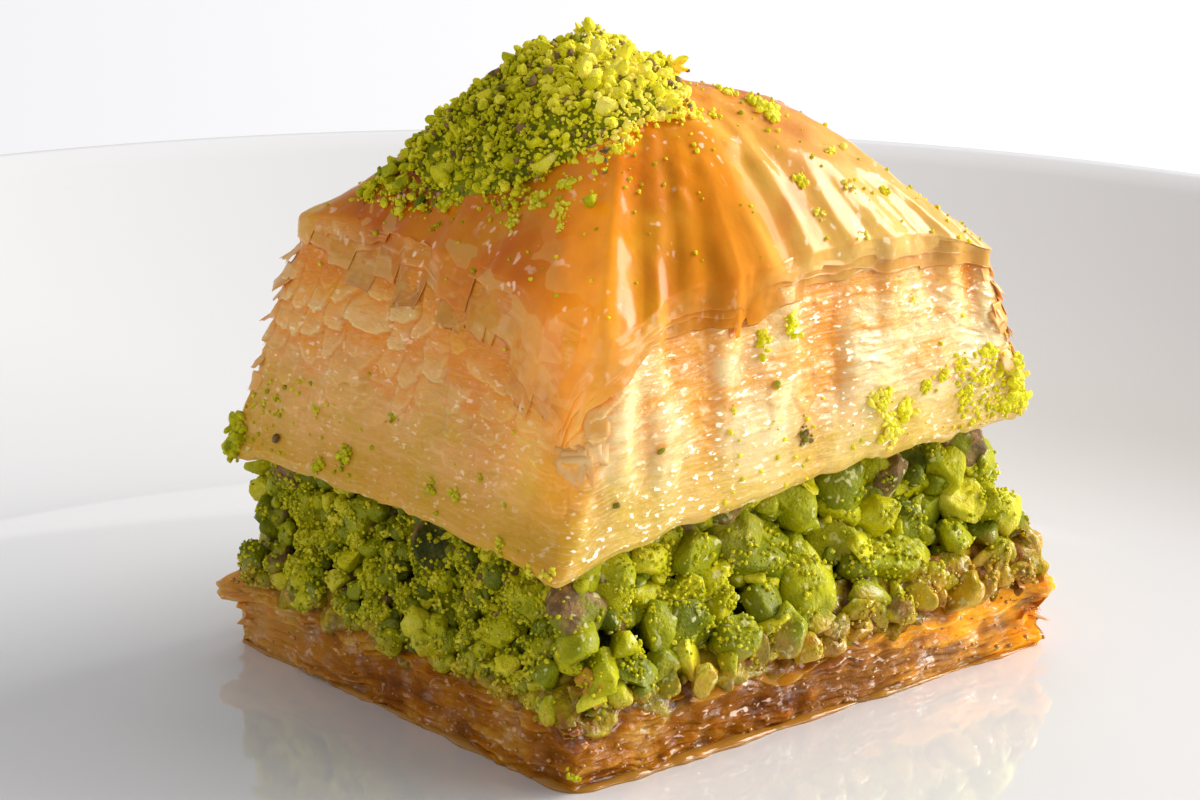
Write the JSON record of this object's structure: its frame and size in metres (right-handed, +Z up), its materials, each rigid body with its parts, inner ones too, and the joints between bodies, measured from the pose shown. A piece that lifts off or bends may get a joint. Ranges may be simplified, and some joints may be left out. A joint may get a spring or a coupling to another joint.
{
  "type": "baklava",
  "caption": "Square-cut piece of layered pastry with a puffed browned lid, a bed of chopped pistachio and a heap of ground pistachio, on a round flat-welled dinner plate.",
  "frame": {"origin": "centre of the plate at the height of its foot ring, on the surface that it stands on", "axes": "+Z up, the plate's axis; +X and +Y along the cut sides of the baklava, which lies in the +X +Y quarter of the plate's well"},
  "size_m": [0.25, 0.25, 0.0545],
  "materials": {
    "porcelain": "smooth glossy white glaze",
    "soaked_pastry": "wet amber-brown pastry sheets soaked in syrup",
    "chopped_pistachio": "green to yellow-green chopped nuts with brown-purple skins",
    "baked_pastry": "glossy amber crust over pale yellow wet sheets",
    "ground_pistachio": "powdery yellow-green crumbs"
  },
  "bodies": {
    "root": {"plate": "porcelain", "bottom_pastry": "soaked_pastry", "chopped_pistachios": "chopped_pistachio", "top_pastry": "baked_pastry", "ground_pistachios": "ground_pistachio"}
  },
  "joints": []
}
